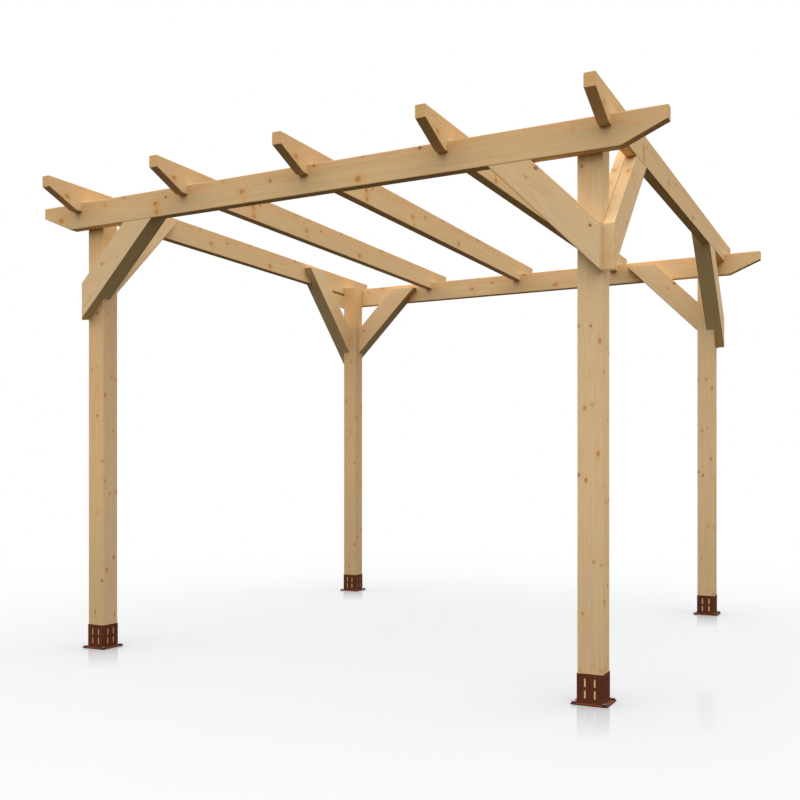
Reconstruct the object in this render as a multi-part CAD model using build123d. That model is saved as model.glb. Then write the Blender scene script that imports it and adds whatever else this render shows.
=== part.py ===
from build123d import *
import os

# Free-standing timber pergola, square on plan.  Millimetres, +Z up.
# Origin: centre of the footprint, on the ground (underside of the four shoe plates).
# +X runs along the two beams, +Y runs along the five rafters, away from the front.

# ---------------------------------------------------------------- driving dimensions
TIMBER_LEN = 3000.0      # full length of every beam and rafter
TIMBER_T = 43.0          # thickness of beams, rafters and brace boards
TIMBER_H = 122.0         # height of beams and rafters
BRACE_W = 122.0          # width of the brace boards
POST = 95.0              # square section of the posts
POST_C = 1210.0          # post centre to the middle of the plan, both ways
BEAM_Z = 2009.5          # underside of the beams
RAFTER_Z = 2088.5        # underside of the rafters (they sit 43 mm down over the beams)
TAPER_LEN = 170.0        # length of the sloping cut under each beam and rafter end
END_H = 50.0             # height left at the square end of that cut
NOTCH_PLAY = 0.5         # play each side of a beam in a rafter's notch
TIP_BEAM = 1577.0        # lower tip of the braces that carry the beams
TIP_RAFTER = 1579.0      # lower tip of the braces that carry the end rafters
BRACE_DROP = 30.0        # inner brace boards stop this far below the top of what they carry
EASE = 4.0               # rounding of the posts' edges
EASE_BEARER = 2.5        # of the beams' and rafters' edges
EASE_BRACE = 2.0         # and of the brace boards' edges

SHEET = 2.0              # sheet thickness of the post shoe's sleeve
SHOE_IN = POST           # sleeve fits round the post
SHOE_OUT = SHOE_IN + 2 * SHEET
SHOE_TOP = 112.0         # top of the sleeve above the ground
SHOE_R = 3.0             # bend radius at the sleeve's corners
PLATE = 135.0            # square base plate
PLATE_T = 4.0
PLATE_R = 4.0
PLATE_HOLE = 11.0
BOLT_OFF = 56.5          # bolt centre from the post's centre, both ways
SLOT_W = 7.0             # screw slots in the sleeve
SLOT_H = 32.0
SLOT_X = 18.5            # slot columns either side of the face's middle
SLOT_Z = (37.0, 79.5)    # slot centres above the ground

WASHER_D = 20.0
WASHER_T = 1.6
HEX_AF = 16.0            # bolt head across flats
HEX_H = 4.8
SHANK_D = 10.0
SHANK_END = 0.5          # shank stops just short of the plate's underside

# ---------------------------------------------------------------- derived positions
BEAM_TOP = BEAM_Z + TIMBER_H
RAFTER_TOP = RAFTER_Z + TIMBER_H
FACE = POST_C + POST / 2            # outer face of the posts
OUT = FACE + TIMBER_T               # outer face of the beams and end rafters
HALF = TIMBER_LEN / 2
END_RAFTER_X = FACE + TIMBER_T / 2
RAFTER_STEP = END_RAFTER_X / 2
BRACE_V = BRACE_W * 2 ** 0.5        # vertical cut of a 45 degree brace board
XZ_THICK = Vector(0, 1, 0)          # thickness direction of timbers that run in X and Z
YZ_THICK = Vector(1, 0, 0)          # and of those that run in Y and Z

os.makedirs("parts", exist_ok=True)
nodes = {}


def xz_board(points, y0, thick):
    """Outline in X and Z, from y0 towards -Y."""
    pl = Plane(origin=(0, y0, 0), x_dir=(1, 0, 0), z_dir=(0, -1, 0))
    return extrude(pl * make_face(Polyline(*points, close=True)), amount=thick)


def yz_board(points, x0, thick):
    """Outline in Y and Z, from x0 towards +X."""
    pl = Plane(origin=(x0, 0, 0), x_dir=(0, 1, 0), z_dir=(1, 0, 0))
    return extrude(pl * make_face(Polyline(*points, close=True)), amount=thick)


def eased(board, across, low, high, radius):
    """Rounds the planed edges of the two wide faces and leaves the sawn ends sharp.
    An edge is planed if it doesn't cross the thickness and rises between low and high
    for each unit of its length."""
    planed = []
    for e in board.edges():
        t = e.tangent_at(0.5)
        if abs(t.dot(across)) < 0.01 and low <= abs(t.Z) <= high:
            planed.append(e)
    return fillet(planed, radius)


def eased_bearer(board, across):
    return eased(board, across, 0.0, 0.5, EASE_BEARER)


def eased_brace(board, across):
    return eased(board, across, 0.6, 0.8, EASE_BRACE)


def bearer_outline(z0):
    """Side view of a beam or rafter: level top, underside cut up to a 50 mm square end."""
    z1 = z0 + TIMBER_H
    return [(-HALF, z1), (-HALF, z1 - END_H), (-HALF + TAPER_LEN, z0),
            (HALF - TAPER_LEN, z0), (HALF, z1 - END_H), (HALF, z1)]


# ---------------------------------------------------------------- posts
# Square posts stand on the shoe plates and stop level with the top of the beams.
post = Pos(0, 0, (PLATE_T + BEAM_TOP) / 2) * Box(POST, POST, BEAM_TOP - PLATE_T)
post = fillet(post.edges().filter_by(Axis.Z), EASE)
post = chamfer(post.faces().sort_by(Axis.Z)[-1].edges(), 1.5)

# ---------------------------------------------------------------- shoes
# Sheet steel sleeve with two columns of screw slots on each face, welded to a base plate.
sleeve = extrude(RectangleRounded(SHOE_OUT, SHOE_OUT, SHOE_R), amount=SHOE_TOP)
slot = SlotOverall(SLOT_H, SLOT_W)
for sx in (-SLOT_X, SLOT_X):
    for sz in SLOT_Z:
        through_y = Plane(origin=(sx, SHOE_OUT, sz), x_dir=(0, 0, 1), z_dir=(0, -1, 0))
        through_x = Plane(origin=(-SHOE_OUT, sx, sz), x_dir=(0, 0, 1), z_dir=(1, 0, 0))
        sleeve -= extrude(through_y * slot, amount=2 * SHOE_OUT)
        sleeve -= extrude(through_x * slot, amount=2 * SHOE_OUT)
plate = extrude(RectangleRounded(PLATE, PLATE, PLATE_R), amount=PLATE_T)
plate = chamfer(plate.faces().sort_by(Axis.Z)[-1].edges(), 0.6)
shoe = sleeve + plate
shoe -= Pos(0, 0, PLATE_T + 100) * Box(SHOE_IN, SHOE_IN, 200)
for bx in (-BOLT_OFF, BOLT_OFF):
    for by in (-BOLT_OFF, BOLT_OFF):
        shoe -= Pos(bx, by, PLATE_T / 2) * Cylinder(PLATE_HOLE / 2, 2 * PLATE_T)

# ---------------------------------------------------------------- anchor bolts
# Hexagon head and washer on the plate, shank through its hole, one bolt at each corner.
shank = extrude(Pos(0, 0, SHANK_END) * Circle(SHANK_D / 2), amount=PLATE_T - SHANK_END)
washer = extrude(Pos(0, 0, PLATE_T) * Circle(WASHER_D / 2), amount=WASHER_T)
washer = chamfer(washer.faces().sort_by(Axis.Z)[-1].edges(), 0.3)
head = extrude(Pos(0, 0, PLATE_T + WASHER_T) * RegularPolygon(HEX_AF / 2, 6, major_radius=False),
               amount=HEX_H)
head = chamfer(head.faces().sort_by(Axis.Z)[-1].edges(), 0.9)
bolt = shank + washer + head

for fb, sy in (("front", -1), ("rear", 1)):
    for lr, sx in (("left", -1), ("right", 1)):
        at = Pos(sx * POST_C, sy * POST_C, 0)
        nodes[f"post_{fb}_{lr}"] = at * post
        nodes[f"shoe_{fb}_{lr}"] = at * shoe
        nodes[f"anchor_bolts_{fb}_{lr}"] = Compound(children=[
            Pos(sx * POST_C + bx, sy * POST_C + by, 0) * bolt
            for bx in (-BOLT_OFF, BOLT_OFF) for by in (-BOLT_OFF, BOLT_OFF)])

# ---------------------------------------------------------------- beams
# One beam along the outer face of the two front posts, one along the two rear posts.
front_beam = eased_bearer(xz_board(bearer_outline(BEAM_Z), -FACE, TIMBER_T), XZ_THICK)
nodes["beam_front"] = front_beam
nodes["beam_rear"] = mirror(front_beam, about=Plane.XZ)

# ---------------------------------------------------------------- rafters
# Five rafters, each notched over both beams; the end two run along the posts' outer faces.
rafter = eased_bearer(yz_board(bearer_outline(RAFTER_Z), -TIMBER_T / 2, TIMBER_T), YZ_THICK)
for sy in (-1, 1):
    rafter -= Pos(0, sy * (FACE + TIMBER_T / 2), BEAM_TOP - TIMBER_H / 2) * Box(
        2 * TIMBER_T, TIMBER_T + 2 * NOTCH_PLAY, TIMBER_H)
for i, name in enumerate(("rafter_left_end", "rafter_left_inner", "rafter_centre",
                          "rafter_right_inner", "rafter_right_end")):
    nodes[name] = Pos(-END_RAFTER_X + i * RAFTER_STEP, 0, 0) * rafter


# ---------------------------------------------------------------- knee braces
# Every brace is two boards side by side at 45 degrees.  The outer one laps over the post
# and butts up under the timber it carries; the inner one butts against the post's side
# and laps behind that timber almost up to its top edge.
def outer_outline(tip, under):
    """Distance in from the posts' outer face, height."""
    return [(0, tip), (0, tip + BRACE_V), (under - tip - BRACE_V, under), (under - tip, under)]


def inner_outline(tip, top):
    return [(POST, tip + POST), (POST, tip + POST + BRACE_V),
            (top - tip - BRACE_V, top), (top - tip, top)]


def from_corner(outline):
    """Outline on the minus side: distance in from the post's outer face becomes a coordinate."""
    return [(-FACE + d, z) for d, z in outline]


# Front left corner, then mirrored to the other three.
corner = {
    "beam_outer": eased_brace(
        xz_board(from_corner(outer_outline(TIP_BEAM, BEAM_Z)), -FACE, TIMBER_T), XZ_THICK),
    "beam_inner": eased_brace(
        xz_board(from_corner(inner_outline(TIP_BEAM, BEAM_TOP - BRACE_DROP)), -FACE + TIMBER_T, TIMBER_T), XZ_THICK),
    "rafter_outer": eased_brace(
        yz_board(from_corner(outer_outline(TIP_RAFTER, RAFTER_Z)), -OUT, TIMBER_T), YZ_THICK),
    "rafter_inner": eased_brace(
        yz_board(from_corner(inner_outline(TIP_RAFTER, RAFTER_TOP - BRACE_DROP)), -FACE, TIMBER_T), YZ_THICK),
}
for fb in ("front", "rear"):
    for lr in ("left", "right"):
        for kind, board in corner.items():
            b = board
            if lr == "right":
                b = mirror(b, about=Plane.YZ)
            if fb == "rear":
                b = mirror(b, about=Plane.XZ)
            nodes[f"brace_{fb}_{lr}_{kind}"] = b

# ---------------------------------------------------------------- write one file per piece
for name, shape in nodes.items():
    shape.label = name
    export_step(shape, f"parts/{name}.step")
print(len(nodes), "pieces")
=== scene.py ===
import bpy
import math
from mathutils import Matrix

# A pergola of planed softwood on steel post shoes.  The shapes are the CAD nodes as they
# are; this file gives them procedural wood and metal, a floor, a studio dome and a camera.
# Metres; +X along the beams, +Y along the rafters away from the camera's side, +Z up.

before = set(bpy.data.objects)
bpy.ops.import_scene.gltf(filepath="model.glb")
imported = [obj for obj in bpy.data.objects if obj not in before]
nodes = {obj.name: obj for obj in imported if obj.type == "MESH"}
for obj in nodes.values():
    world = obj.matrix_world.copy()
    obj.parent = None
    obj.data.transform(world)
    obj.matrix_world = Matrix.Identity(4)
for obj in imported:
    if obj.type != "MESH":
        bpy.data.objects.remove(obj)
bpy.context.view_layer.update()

# ------------------------------------------------------------------ camera
cam_data = bpy.data.cameras.new("camera")
cam = bpy.data.objects.new("camera", cam_data)
bpy.context.scene.collection.objects.link(cam)
cam.location = (2.20126, -4.70346, 0.86761)
cam.rotation_euler = (math.radians(90.0), 0.0, 0.47457)
cam_data.sensor_width = 36.0
cam_data.lens = 963.62 / 800.0 * 36.0
cam_data.shift_x = 0.0
cam_data.shift_y = (467.25 - 400.0) / 800.0
cam_data.clip_start = 0.05
cam_data.clip_end = 200.0
bpy.context.scene.camera = cam


# ------------------------------------------------------------------ node helpers
class Tree:
    """Short-hand for building a shader node tree."""

    def __init__(self, tree):
        self.t = tree
        self.n = tree.nodes
        self.n.clear()

    def add(self, kind, **props):
        node = self.n.new(kind)
        for k, v in props.items():
            setattr(node, k, v)
        return node

    def link(self, a, b):
        self.t.links.new(a, b)

    def put(self, socket, value):
        if isinstance(value, bpy.types.NodeSocket):
            self.link(value, socket)
        else:
            socket.default_value = value

    def math(self, op, a, b=None, c=None, clamp=False):
        n = self.add("ShaderNodeMath", operation=op, use_clamp=clamp)
        self.put(n.inputs[0], a)
        if b is not None:
            self.put(n.inputs[1], b)
        if c is not None:
            self.put(n.inputs[2], c)
        return n.outputs[0]

    def vmath(self, op, a, b=None, scale=None):
        n = self.add("ShaderNodeVectorMath", operation=op)
        self.put(n.inputs[0], a)
        if b is not None:
            self.put(n.inputs[1], b)
        if scale is not None:
            self.put(n.inputs["Scale"], scale)
        return n.outputs["Value"] if op in ("LENGTH", "DOT_PRODUCT", "DISTANCE") else n.outputs["Vector"]

    def noise(self, vec, scale, detail=2.0, rough=0.5, distortion=0.0, colour=False):
        n = self.add("ShaderNodeTexNoise", noise_dimensions="3D")
        self.put(n.inputs["Vector"], vec)
        n.inputs["Scale"].default_value = scale
        n.inputs["Detail"].default_value = detail
        n.inputs["Roughness"].default_value = rough
        n.inputs["Distortion"].default_value = distortion
        return n.outputs["Color" if colour else "Fac"]

    def mapr(self, v, a, b, c, d, kind="LINEAR", clamp=True):
        n = self.add("ShaderNodeMapRange", interpolation_type=kind)
        n.clamp = clamp
        self.put(n.inputs["Value"], v)
        for s, x in zip(("From Min", "From Max", "To Min", "To Max"), (a, b, c, d)):
            n.inputs[s].default_value = x
        return n.outputs["Result"]

    def smooth(self, v, a, b, c=0.0, d=1.0):
        return self.mapr(v, a, b, c, d, "SMOOTHSTEP")

    def ramp(self, v, stops, interp="LINEAR"):
        """stops: (position, (r, g, b, a))"""
        n = self.add("ShaderNodeValToRGB")
        n.color_ramp.interpolation = interp
        e = n.color_ramp.elements
        while len(e) > 1:
            e.remove(e[-1])
        e[0].position, e[0].color = stops[0]
        for p, c in stops[1:]:
            e.new(p).color = c
        self.put(n.inputs["Fac"], v)
        return n.outputs["Color"], n.outputs["Alpha"]

    def mix(self, f, a, b, blend="MIX"):
        n = self.add("ShaderNodeMix", data_type="RGBA", blend_type=blend)
        self.put(n.inputs[0], f)
        for s, v in ((n.inputs[6], a), (n.inputs[7], b)):
            if not isinstance(v, bpy.types.NodeSocket):
                v = (*v, 1.0)
            self.put(s, v)
        return n.outputs[2]

    def scale_colour(self, colour, value):
        """colour times a grey value"""
        return self.vmath("SCALE", colour, scale=value)

    def xyz(self, v):
        n = self.add("ShaderNodeSeparateXYZ")
        self.put(n.inputs[0], v)
        return n.outputs

    def join(self, x, y, z):
        n = self.add("ShaderNodeCombineXYZ")
        for s, v in zip(n.inputs, (x, y, z)):
            self.put(s, v)
        return n.outputs[0]


def new_material(name):
    m = bpy.data.materials.new(name)
    m.use_nodes = True
    return m, Tree(m.node_tree)


def set_material(obj, mat):
    obj.data.materials.clear()
    obj.data.materials.append(mat)


# ------------------------------------------------------------------ knots
def split_knots(knots):
    """Rows of knots whose members keep clear of each other along the board."""
    rows = []
    for k in sorted(knots):
        for row in rows:
            if k[0] - row[-1][0] > 4.0 * (k[2] + row[-1][2]):
                row.append(k)
                break
        else:
            rows.append([k])
    return rows


def knot_row(t, row, length, s, u, depth, wobble):
    """Nearest knot of one row: its core, its halo and how far it pushes the grain aside.
    A knot is (along, across, radius, darkness), metres, measured from the board's middle.
    depth runs from -1 at the back of the board to 1 at the face the knots are placed on."""
    def code(k):
        return (k[0] / length + 0.5, k[1] / 0.2 + 0.5, k[2] / 0.02, k[3])
    stops = [(0.0, code(row[0]))]
    for a, b in zip(row, row[1:]):
        stops.append(((a[0] + b[0]) / 2 / length + 0.5, code(b)))
    place, dark = t.ramp(t.mapr(s, -length / 2, length / 2, 0.0, 1.0), stops, "CONSTANT")
    k = t.xyz(place)
    ds = t.math("SUBTRACT", s, t.math("MULTIPLY_ADD", k[0], length, -length / 2))
    du = t.math("SUBTRACT", u, t.math("MULTIPLY_ADD", k[1], 0.2, -0.1))
    r = t.math("MULTIPLY", t.math("MULTIPLY", k[2], 0.02), t.mapr(depth, -1.0, 1.0, 0.6, 1.0))
    flat = t.vmath("LENGTH", t.join(t.math("DIVIDE", ds, 1.3), du, 0.0))
    far = t.vmath("LENGTH", t.join(t.math("DIVIDE", ds, 2.1), du, 0.0))
    d_core = t.math("ADD", t.math("DIVIDE", flat, r), wobble)
    d_far = t.math("ADD", t.math("DIVIDE", far, r), wobble)
    core = t.smooth(d_core, 1.35, 0.55)
    halo = t.math("MULTIPLY", t.smooth(d_far, 3.2, 0.5), t.mapr(dark, 0.55, 1.0, 1.0, 0.45))
    halo = t.math("MULTIPLY", halo, t.mapr(dark, 0.0, 0.5, 0.3, 1.0))
    push = t.math("MULTIPLY", t.math("MULTIPLY", t.smooth(d_far, 3.6, 0.5), r), dark)
    # pale knots are orange, sound dark ones brown
    stain = t.ramp(dark, [(0.0, (1, 1, 1, 1)), (0.6, (0.82, 0.60, 0.48, 1)), (1.0, (0.49, 0.37, 0.30, 1))])[0]
    stain = t.scale_colour(stain, t.mapr(t.math("SINE", t.math("MULTIPLY", d_core, 17.0)), -1.0, 1.0, 0.92, 1.08))
    return core, halo, push, stain


def stain_row(t, row, length, s, u, wobble):
    """Resin stain nearest to a point: a soft patch that is taller than it is long."""
    stops = [(0.0, (row[0][0] / length + 0.5, row[0][1] / 0.2 + 0.5, row[0][2] / 0.03, row[0][3]))]
    for a, b in zip(row, row[1:]):
        stops.append(((a[0] + b[0]) / 2 / length + 0.5, (b[0] / length + 0.5, b[1] / 0.2 + 0.5, b[2] / 0.03, b[3])))
    place, strength = t.ramp(t.mapr(s, -length / 2, length / 2, 0.0, 1.0), stops, "CONSTANT")
    k = t.xyz(place)
    ds = t.math("SUBTRACT", s, t.math("MULTIPLY_ADD", k[0], length, -length / 2))
    du = t.math("SUBTRACT", u, t.math("MULTIPLY_ADD", k[1], 0.2, -0.1))
    d = t.math("DIVIDE", t.vmath("LENGTH", t.join(t.math("DIVIDE", ds, 0.7), du, 0.0)),
               t.math("MULTIPLY", k[2], 0.03))
    return t.math("MULTIPLY", t.smooth(t.math("ADD", d, wobble), 1.3, 0.2), strength)


# ------------------------------------------------------------------ wood
def wood(name, centre, along, across, out, length, width, thick, seed,
         pith=(0.02, 0.05), knots=(), side_knots=(), stains=(), colours=None, tint=(1, 1, 1),
         split=None, grain=0.17, cut=(0.98, 0.93, 0.86), foot=False, joint=0,
         side_light=(1, 1, 1), nose_light=None):
    """One piece of planed softwood.
    along, across and out are the board's own directions; out is the face that knots are
    placed on, side_knots are placed on the face that looks along -across or +across; cut
    is what the sawn ends' colour is multiplied by.  foot marks a post: it darkens the wood
    towards the ground as painted shade, and paints the wood inside the shoe lighter and the
    post's top warmer as painted light; joint is the side (of out) where another board lies
    against this one.  side_light is painted light that colours a post's faces that look along
    -across or +across, nose_light painted light that brightens a rafter's tapered ends."""
    m, t = new_material(name)
    light, ruddy = (tuple(a * b for a, b in zip(c, tint)) for c in colours)
    tc = t.add("ShaderNodeTexCoord")
    geo = t.add("ShaderNodeNewGeometry")
    p = t.vmath("SUBTRACT", tc.outputs["Object"], centre)
    s = t.vmath("DOT_PRODUCT", p, along)
    u = t.vmath("DOT_PRODUCT", p, across)
    w = t.vmath("DOT_PRODUCT", p, out)
    shift = (seed * 1.37 % 11.0, seed * 2.91 % 13.0, seed * 0.77 % 7.0)
    q = t.vmath("ADD", t.join(s, u, w), shift)

    # slow wander of the pith along the board, and a softer one of the growth rings
    wander = t.xyz(t.noise(t.vmath("MULTIPLY", q, (0.8, 0.01, 0.01)), 1.0, 1.0, colour=True))
    wave = t.noise(t.vmath("MULTIPLY", q, (3.0, 26.0, 26.0)), 1.0, 2.0)
    broad = t.noise(t.vmath("MULTIPLY", q, (0.9, 34.0, 34.0)), 1.0, 2.0, 0.6)
    streak = t.noise(t.vmath("MULTIPLY", q, (2.2, 170.0, 170.0)), 1.0, 2.0, 0.6)
    fibre = t.noise(t.vmath("MULTIPLY", q, (16.0, 1150.0, 1150.0)), 1.0, 2.0, 0.6)
    speck = t.noise(t.vmath("MULTIPLY", q, (240.0, 300.0, 300.0)), 1.0, 3.0, 0.6)
    wobble = t.mapr(t.noise(q, 80.0, 2.0), 0.0, 1.0, -0.55, 0.55)

    # knots, by rows
    cores, halos, pushes, stained = [], [], [], []
    depth = t.mapr(w, -thick / 2, thick / 2, -1.0, 1.0)
    for row in split_knots(knots):
        c, h, g, k = knot_row(t, row, length + 0.4, s, u, depth, wobble)
        cores.append(c), halos.append(h), pushes.append(g), stained.append(k)
    if side_knots:
        depth2 = t.mapr(u, -width / 2, width / 2, -1.0, 1.0)
        for row in split_knots(side_knots):
            c, h, g, k = knot_row(t, row, length + 0.4, s, w, depth2, wobble)
            cores.append(c), halos.append(h), pushes.append(g), stained.append(k)

    def highest(values):
        v = values[0]
        for x in values[1:]:
            v = t.math("MAXIMUM", v, x)
        return v
    core, halo, push = highest(cores), highest(halos), highest(pushes)

    # growth rings round the pith, pushed aside by the knots
    ru = t.math("SUBTRACT", u, t.mapr(wander[0], 0.3, 0.7, pith[0] - 0.016, pith[0] + 0.016, clamp=False))
    rw = t.math("SUBTRACT", w, t.mapr(wander[1], 0.3, 0.7, pith[1] - 0.012, pith[1] + 0.012, clamp=False))
    r = t.vmath("LENGTH", t.join(ru, rw, 0.0))
    r = t.math("ADD", r, t.mapr(wave, 0.2, 0.8, -0.0018, 0.0018, clamp=False))
    r = t.math("ADD", r, t.math("MULTIPLY", push, 1.1))
    turn = t.math("DIVIDE", r, 0.0037)
    turn = t.math("ADD", turn, t.mapr(t.noise(t.join(turn, shift[0], 0.0), 0.35, 1.0), 0.0, 1.0, -0.9, 0.9))
    ring = t.math("FRACT", turn)
    late = t.math("MULTIPLY", t.smooth(ring, 0.35, 0.92), t.smooth(ring, 1.0, 0.93))

    # end grain where a cut crosses the fibres
    face = t.math("ABSOLUTE", t.vmath("DOT_PRODUCT", geo.outputs["Normal"], along))
    end = t.smooth(face, 0.15, 0.85)
    # distance to the planed edges
    eu = t.math("SUBTRACT", width / 2, t.math("ABSOLUTE", u))
    ew = t.math("SUBTRACT", thick / 2, t.math("ABSOLUTE", w))
    edge = t.smooth(t.math("ADD", eu, ew), 0.0060, 0.0012)

    # colour
    if split is None:
        heart = t.smooth(broad, 0.36, 0.66)
    else:
        band = t.math("ADD", t.math("SUBTRACT", u, split), t.mapr(wave, 0.2, 0.8, -0.012, 0.012))
        heart = t.math("MULTIPLY_ADD", t.smooth(band, -0.012, 0.012), 0.7,
                       t.math("MULTIPLY", t.smooth(broad, 0.36, 0.66), 0.3))
    col = t.mix(heart, light, ruddy)
    tone = t.mapr(streak, 0.25, 0.75, 0.945, 1.055, clamp=False)
    tone = t.math("MULTIPLY", tone, t.mapr(broad, 0.3, 0.7, 0.965, 1.03, clamp=False))
    tone = t.math("MULTIPLY", tone, t.mapr(fibre, 0.2, 0.8, 0.955, 1.045, clamp=False))
    col = t.scale_colour(col, tone)
    lines = t.math("MULTIPLY", late, t.mapr(end, 0.0, 1.0, grain, 0.14 if joint else 0.36))
    col = t.mix(lines, col, t.vmath("MULTIPLY", col, (0.80, 0.66, 0.50)))
    mottle = t.noise(t.vmath("MULTIPLY", q, (9.0, 48.0, 48.0)), 1.0, 3.0, 0.65, colour=True)
    fleck, olive = t.xyz(mottle)[:2]
    col = t.mix(t.smooth(fleck, 0.50, 0.72, 0.0, 0.50), col, t.vmath("MULTIPLY", col, (1.0, 0.86, 0.70)))
    col = t.mix(t.smooth(olive, 0.50, 0.72, 0.0, 0.50), col, t.vmath("MULTIPLY", col, (0.94, 0.97, 0.93)))
    if stains:
        col = t.mix(stain_row(t, sorted(stains), length + 0.4, s, u, wobble), col,
                    t.vmath("MULTIPLY", col, (1.0, 0.80, 0.54)))
    col = t.mix(t.math("MULTIPLY", halo, 0.4 if foot else 0.8), col, t.vmath("MULTIPLY", col, (0.98, 0.86, 0.72)))
    for c, k in zip(cores, stained):
        col = t.mix(c, col, t.vmath("MULTIPLY", col, k))
    col = t.mix(end, col, t.vmath("MULTIPLY", col, cut))
    col = t.scale_colour(col, t.mapr(speck, 0.3, 0.7, 0.975, 1.02))
    # painted highlight on the planed edges that face up, painted shade on those that face down
    rise = t.xyz(geo.outputs["Normal"])[2]
    pale = t.math("MULTIPLY", edge, t.smooth(rise, -0.15, 0.25, 0.0, 0.65))
    col = t.mix(pale, col, t.vmath("MULTIPLY", col, (1.10, 1.06, 1.0)))
    edge_shade = t.math("MULTIPLY", edge, t.smooth(rise, -0.10, -0.45, 0.0, 0.85))
    if joint:
        # no painted edge shade on the side where the other board of the pair lies
        edge_shade = t.math("MULTIPLY", edge_shade, t.smooth(t.math("MULTIPLY", w, float(joint)), 0.010, 0.004))
    if not foot:
        # painted shade along the lower arris of the side faces
        arris = t.smooth(u, -width / 2 + 0.0060, -width / 2 + 0.0015, 0.0, 0.8)
        edge_shade = t.math("MAXIMUM", edge_shade, t.math("MULTIPLY", arris, t.smooth(rise, -0.55, -0.25)))
    col = t.mix(edge_shade, col, t.vmath("MULTIPLY", col, (0.55, 0.48, 0.40)))
    if foot:
        z = t.xyz(tc.outputs["Object"])[2]
        # painted shade: the post is darker towards the ground, less so on its faces that look along -across or
        # +across; the wood inside the shoe is painted lighter
        ground_shade = t.smooth(z, 0.05, 0.95, 0.855, 1.02)
        side = t.math("ABSOLUTE", t.vmath("DOT_PRODUCT", geo.outputs["Normal"], across))
        ground_shade = t.math("MULTIPLY_ADD", t.math("SUBTRACT", 1.02, ground_shade), t.math("MULTIPLY", side, 0.36), ground_shade)
        col = t.scale_colour(col, t.math("MAXIMUM", ground_shade, t.smooth(z, 0.114, 0.110, 0.0, 1.06)))
        # painted light: a post's faces that look along -across or +across get their own colour factor
        col = t.mix(side, col, t.vmath("MULTIPLY", col, side_light))
        # painted light: the post's top, from 1.80 m up, is tinted warmer, standing for light bounced from the
        # timbers above
        col = t.mix(t.smooth(z, 1.80, 1.95), col, t.vmath("MULTIPLY", col, (1.0, 0.97, 0.89)))
    if nose_light:
        # painted light: the rafter's tapered undersides are brightened
        taper = t.math("MULTIPLY", t.smooth(rise, -0.97, -0.94), t.smooth(rise, -0.5, -0.7))
        col = t.mix(taper, col, t.vmath("MULTIPLY", col, nose_light))
    if joint:
        # painted shade: a brace board's downward faces are tinted olive, the colour of the shade beneath it
        col = t.mix(t.smooth(rise, -0.4, -0.6), col, t.vmath("MULTIPLY", col, (0.90, 1.00, 1.02)))
        # painted shade: a dark line along the upward faces where the two boards of a brace meet, the shade in the
        # crease between them
        seam = t.smooth(t.math("MULTIPLY", w, float(joint)), thick / 2 - 0.0030, thick / 2 - 0.0012)
        seam = t.math("MULTIPLY", seam, t.smooth(rise, 0.2, 0.5))
        col = t.mix(t.math("MULTIPLY", seam, 0.64), col, t.vmath("MULTIPLY", col, (0.45, 0.36, 0.28)))

    # surface
    rough = t.mapr(fibre, 0.2, 0.8, 0.54, 0.66)
    rough = t.math("SUBTRACT", rough, t.math("MULTIPLY", late, 0.07))
    rough = t.math("ADD", rough, t.math("MULTIPLY", end, 0.14))
    height = t.math("MULTIPLY", fibre, 0.5)
    height = t.math("MULTIPLY_ADD", late, 0.35, height)
    height = t.math("MULTIPLY_ADD", speck, 0.25, height)
    height = t.math("MULTIPLY_ADD", core, -0.5, height)
    bump = t.add("ShaderNodeBump")
    bump.inputs["Strength"].default_value = 0.35
    bump.inputs["Distance"].default_value = 0.00035
    t.link(height, bump.inputs["Height"])
    b = t.add("ShaderNodeBsdfPrincipled")
    t.link(col, b.inputs["Base Color"])
    t.link(rough, b.inputs["Roughness"])
    t.link(bump.outputs[0], b.inputs["Normal"])
    b.inputs["Specular IOR Level"].default_value = 0.08
    o = t.add("ShaderNodeOutputMaterial")
    t.link(b.outputs[0], o.inputs["Surface"])
    return m


def mm(*values):
    return tuple(v / 1000.0 for v in values)


# Knots of the long timbers: along from the middle, height from the middle, radius, darkness.
BEARER_KNOTS = [(-1.393, -0.009, 0.0105, 0.62), (-1.108, 0.029, 0.0055, 0.52), (-0.992, 0.051, 0.0055, 0.60),
                (-0.803, 0.003, 0.0105, 0.60), (-0.794, -0.040, 0.0095, 0.55), (-0.742, 0.023, 0.0056, 1.0),
                (-0.419, 0.049, 0.0050, 0.25), (-0.318, -0.009, 0.0110, 0.63), (-0.171, 0.020, 0.0070, 0.84),
                (0.050, 0.052, 0.0056, 0.90), (0.259, -0.031, 0.0115, 0.64), (0.283, 0.056, 0.0050, 0.45),
                (0.541, 0.052, 0.0070, 0.97)]
BEARER_STAINS = [(-1.380, -0.020, 0.020, 0.45), (-0.797, -0.019, 0.030, 0.95), (-0.492, 0.050, 0.012, 0.5),
                 (-0.303, -0.043, 0.020, 0.75), (-0.171, 0.036, 0.016, 0.35), (0.275, -0.020, 0.022, 0.45),
                 (0.889, 0.037, 0.014, 0.5), (1.158, 0.029, 0.016, 0.6), (1.400, 0.006, 0.012, 0.35)]
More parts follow.
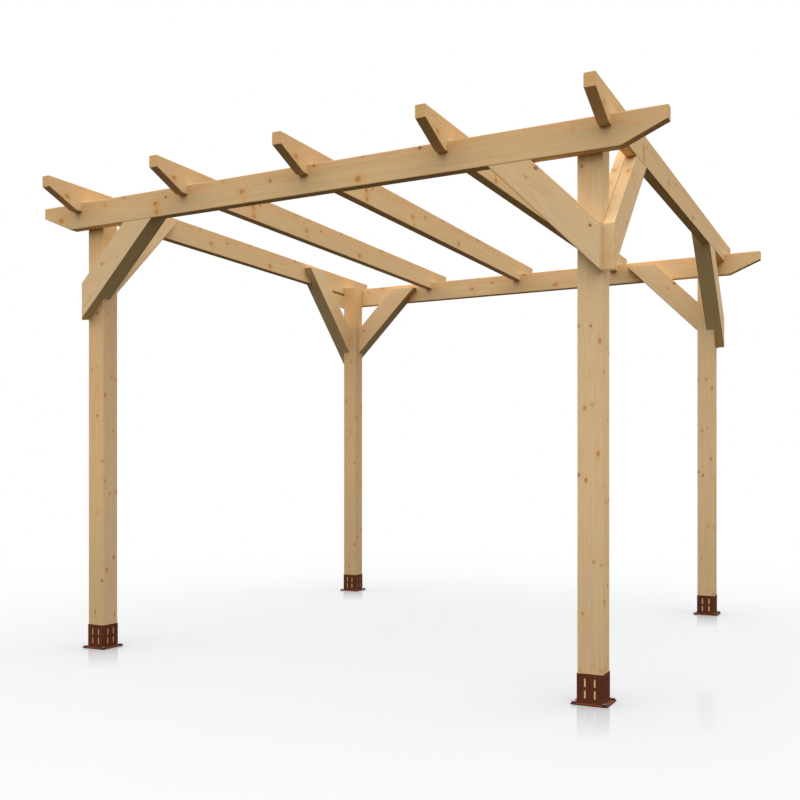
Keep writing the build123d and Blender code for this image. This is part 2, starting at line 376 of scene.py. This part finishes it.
# Knots of the posts: height above the ground, across from the face's middle.
POST_FRONT_A = [(0.331, -0.0255, 0.0050, 0.60), (0.522, 0.0145, 0.0054, 0.62), (0.512, 0.0415, 0.0042, 0.45),
                (0.839, -0.0415, 0.0065, 0.86), (0.820, -0.0145, 0.0065, 0.80), (0.917, 0.0305, 0.0076, 0.66),
                (1.084, -0.0195, 0.0072, 0.62), (1.095, 0.0085, 0.0045, 0.48), (1.385, -0.0420, 0.0055, 0.72),
                (1.385, 0.0035, 0.0055, 0.86), (1.327, 0.0365, 0.0074, 0.62), (1.972, -0.0300, 0.0056, 0.90),
                (0.125, 0.0425, 0.0070, 0.35), (0.125, -0.0375, 0.0060, 0.28), (0.142, 0.0125, 0.0060, 0.18)]
POST_FRONT_B = [(0.172, -0.0035, 0.0055, 0.86), (0.325, 0.0395, 0.0065, 1.0), (0.895, 0.0400, 0.0060, 0.82),
                (0.650, 0.0110, 0.0060, 0.20), (1.115, 0.0100, 0.0056, 0.86), (1.337, -0.0265, 0.0062, 0.68),
                (1.346, 0.0045, 0.0045, 0.36), (1.607, 0.0095, 0.0062, 0.84)]
POST_SIDE = [(0.156, 0.0270, 0.0055, 0.62), (0.375, -0.0240, 0.0095, 0.62), (0.433, 0.0205, 0.0065, 0.93),
             (0.742, -0.0050, 0.0060, 0.68), (0.803, -0.0370, 0.0062, 0.58), (0.747, 0.0380, 0.0068, 0.64),
             (1.043, 0.0170, 0.0056, 0.56), (1.214, -0.0345, 0.0090, 0.58), (1.305, 0.0095, 0.0052, 0.60),
             (1.291, 0.0360, 0.0058, 0.68), (1.606, -0.0165, 0.0052, 0.38)]
# Knots of the brace boards: along from the lower tip, across from the lower edge.
BRACE_A = [(0.269, 0.0836, 0.0060, 0.9), (0.110, 0.0365, 0.0040, 0.35)]
BRACE_B = [(0.139, 0.0900, 0.0055, 1.0), (0.451, 0.1110, 0.0075, 0.95), (0.460, 0.0640, 0.0045, 0.5)]
BRACE_C = [(0.048, 0.0340, 0.0060, 0.4), (0.277, 0.0230, 0.0055, 0.8), (0.552, 0.0520, 0.0050, 0.4)]
BRACE_D = [(0.448, 0.0560, 0.0055, 0.7), (0.162, 0.0480, 0.0085, 0.3)]
# And of one pair of boards' upper edges: along from the lower tip, across from the edge's middle.
BRACE_TOP = {"rafter_outer": [(0.488, 0.0100, 0.0100, 0.52), (0.300, -0.0060, 0.0060, 0.2)],
             "rafter_inner": [(0.508, -0.0090, 0.0105, 0.52), (0.408, -0.0060, 0.0085, 0.32)]}

WOOD = ((0.756, 0.531, 0.271), (0.774, 0.492, 0.236))      # sapwood, ruddier heartwood
POST_WOOD = ((0.780, 0.573, 0.312), (0.786, 0.537, 0.280))
BRACE_WOOD = ((0.774, 0.561, 0.304), (0.780, 0.531, 0.274))
# Each timber's colour is scaled by its own factor: partly real differences between boards, partly painted light and
# shade matched to each timber's measured brightness.
TINT = {
    "beam_front": (1.01, 1.02, 1.03), "beam_rear": (1.02, 1.04, 1.09),
    "rafter_left_end": (1.00, 1.015, 1.05), "rafter_left_inner": (1.00, 1.01, 1.03),
    "rafter_centre": (1.01, 1.01, 1.00), "rafter_right_inner": (0.995, 0.985, 0.94),
    "rafter_right_end": (1.015, 0.995, 0.92),
    "post_front_left": (0.975, 0.93, 0.91), "post_front_right": (1.01, 1.02, 1.055),
    "post_rear_left": (0.92, 0.89, 0.88), "post_rear_right": (0.965, 0.99, 1.04),
    "front_left_beam": (1.02, 1.04, 1.09), "front_left_rafter": (1.03, 1.07, 1.13),
    "front_right_beam": (1.02, 1.05, 1.11), "front_right_rafter": (1.04, 1.04, 1.03),
    "rear_left_beam": (1.01, 1.05, 1.14), "rear_left_rafter": (1.03, 1.05, 1.10),
    "rear_right_beam": (1.03, 1.05, 1.11), "rear_right_rafter": (1.05, 1.04, 1.00),
}
# Painted light: each post's faces that look along -X or +X get their own colour factor.
SIDE_LIGHT = {"front_left": (1.00, 1.05, 1.12), "front_right": (1.05, 1.045, 1.02),
             "rear_left": (1.00, 1.00, 0.95), "rear_right": (1.04, 0.985, 0.90)}
FACE, OUT, THICK = 1.2575, 1.3005, 0.043
POST_C = 1.2100
Q = 0.5 ** 0.5

# beams and rafters
for name, y, out in (("beam_front", -1.279, (0, -1, 0)), ("beam_rear", 1.279, (0, -1, 0))):
    set_material(nodes[name], wood(
        name, (0, y, 2.0705), (1, 0, 0), (0, 0, 1), out, 3.0, 0.122, THICK,
        {"beam_front": 3.0, "beam_rear": 17.0}[name], pith=(0.045, -0.075),
        knots=BEARER_KNOTS, stains=BEARER_STAINS, colours=WOOD, tint=TINT[name], split=0.012))
for i, name in enumerate(("rafter_left_end", "rafter_left_inner", "rafter_centre",
                          "rafter_right_inner", "rafter_right_end")):
    x = -1.279 + i * 0.6395
    set_material(nodes[name], wood(
        name, (x, 0, 2.1495), (0, 1, 0), (0, 0, 1), (1, 0, 0), 3.0, 0.122, THICK,
        23.0 + 5.7 * i, pith=(0.040 - 0.006 * i, -0.072), knots=BEARER_KNOTS, stains=BEARER_STAINS,
        colours=WOOD, tint=TINT[name], split=0.012,
        nose_light=(1.19, 1.13, 1.17) if name == "rafter_right_end" else None))

# posts
for i, (fb, lr) in enumerate((("front", "left"), ("front", "right"), ("rear", "left"), ("rear", "right"))):
    x = -POST_C if lr == "left" else POST_C
    y = -POST_C if fb == "front" else POST_C
    front = POST_FRONT_B if lr == "left" else POST_FRONT_A
    half = 2.13 / 2
    set_material(nodes[f"post_{fb}_{lr}"], wood(
        f"post_{fb}_{lr}", (x, y, half), (0, 0, 1), (1, 0, 0), (0, -1, 0), 2.13, 0.095, 0.095,
        51.0 + 7.9 * i, pith=(0.012 - 0.008 * i, 0.006),
        knots=[(k[0] - half, k[1], k[2], k[3]) for k in front],
        side_knots=[(k[0] - half, -k[1], k[2], k[3]) for k in POST_SIDE],
        colours=POST_WOOD, tint=TINT[f"post_{fb}_{lr}"], foot=True, side_light=SIDE_LIGHT[f"{fb}_{lr}"]))

# braces: along runs up and inwards from the lower tip
for fb, sy in (("front", -1), ("rear", 1)):
    for lr, sx in (("left", -1), ("right", 1)):
        for j, kind in enumerate(("beam_outer", "beam_inner", "rafter_outer", "rafter_inner")):
            name = f"brace_{fb}_{lr}_{kind}"
            if kind.startswith("beam"):
                y = sy * (1.279 if kind.endswith("outer") else 1.236)
                seam = sy if kind.endswith("outer") else -sy
                tip = (sx * FACE, y, 1.577)
                along, across, out = (-sx * Q, 0, Q), (sx * Q, 0, Q), (0, -1, 0)
                knots = BRACE_A if lr == "left" else BRACE_B
            else:
                x = sx * (1.279 if kind.endswith("outer") else 1.236)
                seam = -sx if kind.endswith("outer") else sx
                tip = (x, sy * FACE, 1.579)
                along, across, out = (0, -sy * Q, Q), (0, sy * Q, Q), (1, 0, 0)
                knots = BRACE_C if (fb, lr) == ("front", "right") else BRACE_D
            top = BRACE_TOP.get(kind, ()) if (fb, lr) == ("front", "right") else ()
            centre = tuple(a + 0.38 * b + 0.061 * c for a, b, c in zip(tip, along, across))
            seed = 101.0 + 3.3 * j + 17.0 * (sx + 2 * sy)
            set_material(nodes[name], wood(
                name, centre, along, across, out, 0.76, 0.122, THICK, seed,
                pith=(-0.02, -0.085), knots=[(k[0] - 0.38, k[1] - 0.060, k[2], k[3]) for k in knots],
                side_knots=[(k[0] - 0.38, k[1], k[2], k[3]) for k in top],
                colours=BRACE_WOOD, tint=TINT[f"{fb}_{lr}_{kind.split('_')[0]}"], grain=0.15,
                cut=(1.05, 1.07, 1.12), joint=seam))


# ------------------------------------------------------------------ painted shoes
def shoe_paint(name, cx, cy):
    m, t = new_material(name)
    tc = t.add("ShaderNodeTexCoord")
    p = t.vmath("SUBTRACT", tc.outputs["Object"], (cx, cy, 0.0))
    q = t.vmath("ADD", p, (cx * 3.1, cy * 2.3, 0.0))
    x, y, z = t.xyz(p)[:3]
    grit = t.noise(q, 900.0, 2.0, 0.6)
    mottle = t.noise(q, 70.0, 3.0, 0.6)
    drip = t.noise(t.vmath("MULTIPLY", q, (160.0, 160.0, 14.0)), 1.0, 2.0)
    ax = t.math("ABSOLUTE", x)
    ay = t.math("ABSOLUTE", y)
    rim = t.math("MAXIMUM", ax, ay)
    # rust shows through on the plate, most at its rim, and a little at the sleeve's top edge
    plate = t.smooth(z, 0.0075, 0.0035)
    outer = t.math("MULTIPLY", plate, t.smooth(rim, 0.0520, 0.0660))
    rust = t.math("MAXIMUM", t.math("MULTIPLY_ADD", outer, 0.45, t.math("MULTIPLY", plate, 0.55)),
                  t.math("MULTIPLY", t.smooth(z, 0.1085, 0.1115), 0.45))
    rust = t.math("MULTIPLY", rust, t.smooth(mottle, 0.22, 0.55, 0.55, 1.0))
    base = t.mix(t.smooth(mottle, 0.35, 0.65), (0.118, 0.0340, 0.0130), (0.098, 0.0260, 0.0098))
    base = t.mix(t.smooth(drip, 0.55, 0.75, 0.0, 0.35), base, (0.165, 0.055, 0.022))
    base = t.scale_colour(base, t.mapr(grit, 0.25, 0.75, 0.65, 1.38))
    red = t.mix(t.smooth(grit, 0.35, 0.65), (0.250, 0.056, 0.017), (0.160, 0.034, 0.012))
    col = t.mix(rust, base, red)
    # painted shadow: the lowest 2 mm of the plate's edge is near-black where it meets the ground
    col = t.mix(t.smooth(z, 0.0024, 0.0010), col, (0.008, 0.005, 0.004))
    b = t.add("ShaderNodeBsdfPrincipled")
    t.link(col, b.inputs["Base Color"])
    t.link(t.mapr(grit, 0.2, 0.8, 0.50, 0.70), b.inputs["Roughness"])
    b.inputs["Specular IOR Level"].default_value = 0.12
    bump = t.add("ShaderNodeBump")
    bump.inputs["Strength"].default_value = 0.45
    bump.inputs["Distance"].default_value = 0.0004
    t.link(t.math("MULTIPLY_ADD", mottle, 0.5, grit), bump.inputs["Height"])
    t.link(bump.outputs[0], b.inputs["Normal"])
    o = t.add("ShaderNodeOutputMaterial")
    t.link(b.outputs[0], o.inputs["Surface"])
    return m


# ------------------------------------------------------------------ bolts
def bolt_metal(name):
    m, t = new_material(name)
    tc = t.add("ShaderNodeTexCoord")
    geo = t.add("ShaderNodeNewGeometry")
    p = tc.outputs["Object"]
    z = t.xyz(p)[2]
    up = t.xyz(geo.outputs["Normal"])[2]
    fine = t.noise(p, 1400.0, 2.0, 0.6)
    blotch = t.noise(p, 260.0, 3.0, 0.6)
    # painted highlight: the upward faces at the top of the bolt heads are bright metallic grey, standing for the
    # white dome reflected there
    top_highlight = t.math("MULTIPLY", t.smooth(up, 0.55, 0.95), t.smooth(z, 0.0092, 0.0101))
    top_highlight = t.math("MULTIPLY", top_highlight, t.smooth(blotch, 0.25, 0.5, 0.65, 1.0))
    dark = t.mix(t.smooth(blotch, 0.35, 0.65), (0.008, 0.011, 0.013), (0.018, 0.022, 0.024))
    bright = t.mix(fine, (0.36, 0.39, 0.41), (0.50, 0.52, 0.53))
    b = t.add("ShaderNodeBsdfPrincipled")
    t.link(t.mix(top_highlight, dark, bright), b.inputs["Base Color"])
    t.link(t.mapr(top_highlight, 0.0, 1.0, 0.25, 0.80), b.inputs["Metallic"])
    b.inputs["Specular IOR Level"].default_value = 0.25
    t.link(t.mapr(fine, 0.2, 0.8, 0.34, 0.50), b.inputs["Roughness"])
    bump = t.add("ShaderNodeBump")
    bump.inputs["Strength"].default_value = 0.3
    bump.inputs["Distance"].default_value = 0.0002
    t.link(fine, bump.inputs["Height"])
    t.link(bump.outputs[0], b.inputs["Normal"])
    o = t.add("ShaderNodeOutputMaterial")
    t.link(b.outputs[0], o.inputs["Surface"])
    return m


bolts = bolt_metal("dark_zinc")
for fb, sy in (("front", -1), ("rear", 1)):
    for lr, sx in (("left", -1), ("right", 1)):
        set_material(nodes[f"shoe_{fb}_{lr}"],
                     shoe_paint(f"shoe_paint_{fb}_{lr}", sx * POST_C, sy * POST_C))
        set_material(nodes[f"anchor_bolts_{fb}_{lr}"], bolts)

# ------------------------------------------------------------------ floor
# A pale sheet that melts into the white background, with a faint short reflection at the
# foot of each post.  To everything but the camera it is nearly dark, so that the timbers'
# undersides stay deep.
bpy.ops.mesh.primitive_circle_add(vertices=128, radius=9.0, fill_type="NGON", location=(0, 0, 0))
floor = bpy.context.object
floor.name = "floor"
fm, ft = new_material("studio_floor")
geo = ft.add("ShaderNodeNewGeometry")
lp = ft.add("ShaderNodeLightPath")
flat = ft.vmath("MULTIPLY", geo.outputs["Position"], (1.0, 1.0, 0.0))
dist = ft.vmath("DISTANCE", flat, (0.40, -0.85, 0.0))
foot = ft.vmath("DISTANCE", ft.vmath("ABSOLUTE", flat), (POST_C, POST_C, 0.0))
grit = ft.noise(geo.outputs["Position"], 600.0, 2.0)
tone = ft.mapr(grit, 0.3, 0.7, 0.507, 0.513)
# contact shadow round the plates, following their rounded corners
rim = ft.vmath("ABSOLUTE", ft.vmath("SUBTRACT", ft.vmath("ABSOLUTE", flat), (POST_C, POST_C, 0.0)))
rim = ft.vmath("MAXIMUM", ft.vmath("SUBTRACT", rim, (0.0595, 0.0595, 0.0)), (0.0, 0.0, 0.0))
contact = ft.smooth(ft.vmath("LENGTH", rim), 0.0145, 0.0090)
tone = ft.math("MULTIPLY", tone, ft.mapr(contact, 0.0, 1.0, 1.0, 0.06))
matt = ft.add("ShaderNodeBsdfDiffuse")
ft.link(ft.join(tone, ft.math("MULTIPLY", tone, 1.008), ft.math("MULTIPLY", tone, 1.020)), matt.inputs["Color"])
gloss = ft.add("ShaderNodeBsdfAnisotropic")
gloss.inputs["Color"].default_value = (0.89, 0.89, 0.89, 1)
ft.link(ft.mapr(grit, 0.2, 0.8, 0.07, 0.10), gloss.inputs["Roughness"])
near = ft.add("ShaderNodeMixShader")
facing = ft.add("ShaderNodeLayerWeight")
facing.inputs["Blend"].default_value = 0.5
low_angle = ft.math("MAXIMUM", ft.mapr(facing.outputs["Facing"], 0.767, 0.818, 1.0, 1.19),
                    ft.mapr(facing.outputs["Facing"], 0.818, 0.866, 1.19, 1.82))
shine = ft.math("MULTIPLY", ft.mapr(foot, 0.10, 0.54, 0.24, 0.0), low_angle)
ft.link(ft.math("MULTIPLY", shine, ft.mapr(contact, 0.0, 1.0, 1.0, 0.2)), near.inputs[0])
ft.link(matt.outputs[0], near.inputs[1])
ft.link(gloss.outputs[0], near.inputs[2])
em = ft.add("ShaderNodeEmission")
em.inputs["Color"].default_value = (1, 1, 1, 1)
mixs = ft.add("ShaderNodeMixShader")
ft.link(ft.smooth(dist, 1.5, 6.0), mixs.inputs[0])
ft.link(near.outputs[0], mixs.inputs[1])
ft.link(em.outputs[0], mixs.inputs[2])
low = ft.add("ShaderNodeEmission")
low.inputs["Color"].default_value = (0.100, 0.081, 0.061, 1)
seen = ft.add("ShaderNodeMixShader")
ft.link(lp.outputs["Is Camera Ray"], seen.inputs[0])
ft.link(low.outputs[0], seen.inputs[1])
ft.link(mixs.outputs[0], seen.inputs[2])
fo = ft.add("ShaderNodeOutputMaterial")
ft.link(seen.outputs[0], fo.inputs["Surface"])
set_material(floor, fm)

# ------------------------------------------------------------------ studio light
# A soft dome: brightest overhead, weaker at the sides, and near the horizon only in front
# and behind.  The camera sees plain white.
world = bpy.data.worlds.new("studio")
bpy.context.scene.world = world
world.use_nodes = True
wt = Tree(world.node_tree)
lp = wt.add("ShaderNodeLightPath")
tc = wt.add("ShaderNodeTexCoord")
wx, wy, wz = wt.xyz(tc.outputs["Generated"])[:3]
yy = wt.math("MULTIPLY", wy, wy)
along_y = wt.math("DIVIDE", yy, wt.math("MAXIMUM", wt.math("MULTIPLY_ADD", wx, wx, yy), 0.0001))
rearward = wt.smooth(wy, -0.3, 0.3)
above = wt.smooth(wz, -0.02, 0.02)
side = wt.math("MULTIPLY", wt.math("MULTIPLY", wt.smooth(wz, 0.45, 0.15), above), along_y)
side = wt.math("MULTIPLY", side, wt.mapr(rearward, 0.0, 1.0, 0.85, 0.55))
middle = wt.math("MULTIPLY", wt.smooth(wz, 0.15, 0.45), wt.smooth(wz, 0.95, 0.70))
middle = wt.math("MULTIPLY", middle, wt.mapr(rearward, 0.0, 1.0, 1.70, 1.55))
level = wt.math("MULTIPLY_ADD", wt.smooth(wz, 0.70, 0.95), 2.95, wt.math("ADD", side, middle))
level = wt.mix(lp.outputs["Is Glossy Ray"], wt.join(level, level, level), wt.join(above, above, above))
bg_light = wt.add("ShaderNodeBackground")
wt.link(level, bg_light.inputs["Color"])
bg_light.inputs["Strength"].default_value = 1.0
bg_seen = wt.add("ShaderNodeBackground")
bg_seen.inputs["Strength"].default_value = 1.0
bg_seen.inputs["Color"].default_value = (1, 1, 1, 1)
wmix = wt.add("ShaderNodeMixShader")
wt.link(lp.outputs["Is Camera Ray"], wmix.inputs[0])
wt.link(bg_light.outputs[0], wmix.inputs[1])
wt.link(bg_seen.outputs[0], wmix.inputs[2])
wo = wt.add("ShaderNodeOutputWorld")
wt.link(wmix.outputs[0], wo.inputs["Surface"])

scene = bpy.context.scene
scene.view_settings.view_transform = "Standard"
scene.view_settings.look = "None"
scene.view_settings.exposure = 0.0
scene.view_settings.gamma = 1.0
